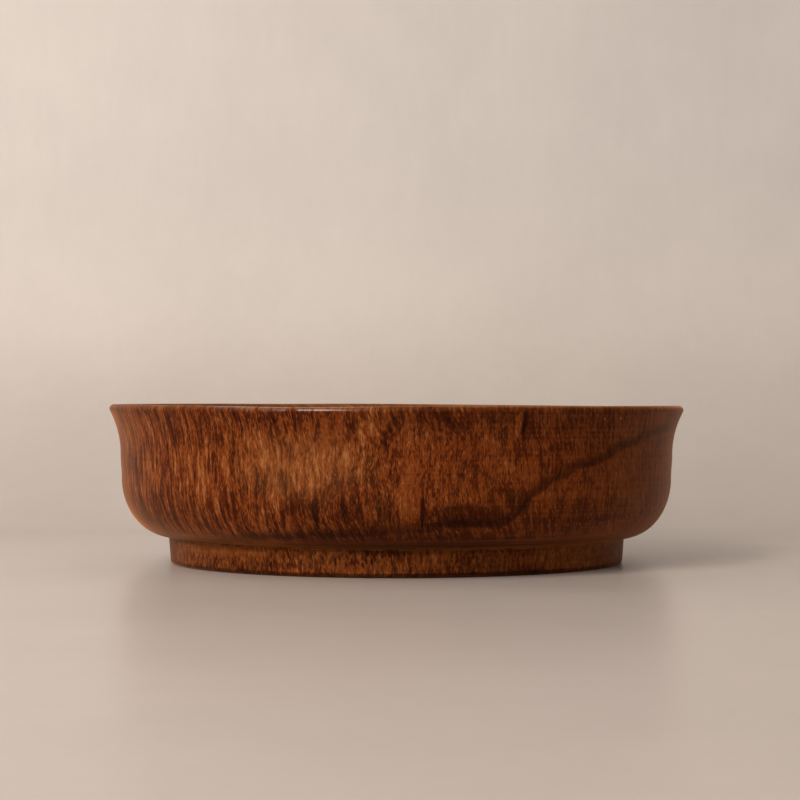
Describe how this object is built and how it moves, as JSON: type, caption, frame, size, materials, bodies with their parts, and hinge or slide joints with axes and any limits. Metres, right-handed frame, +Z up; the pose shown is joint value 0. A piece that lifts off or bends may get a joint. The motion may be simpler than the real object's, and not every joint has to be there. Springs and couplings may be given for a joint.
{
  "type": "footed bowl",
  "caption": "Open turned wooden bowl with a flared lip and a rounded belly, standing on a separate foot ring glued round a spigot under its floor.",
  "frame": {"origin": "middle of the foot ring's underside, on the turning axis", "axes": "+Z up the turning axis, out of the bowl's mouth; +X and +Y lie across the bowl, which looks the same from every side"},
  "size_m": [0.24, 0.24, 0.0663],
  "materials": {
    "bowl_wood": "flecked dark red-brown hardwood, oiled and polished to a satin sheen",
    "foot_wood": "the same flecked hardwood, a little paler and duller at the edge that stands on the table"
  },
  "bodies": {
    "root": {"bowl_body": "bowl_wood", "foot_ring": "foot_wood"}
  },
  "joints": []
}
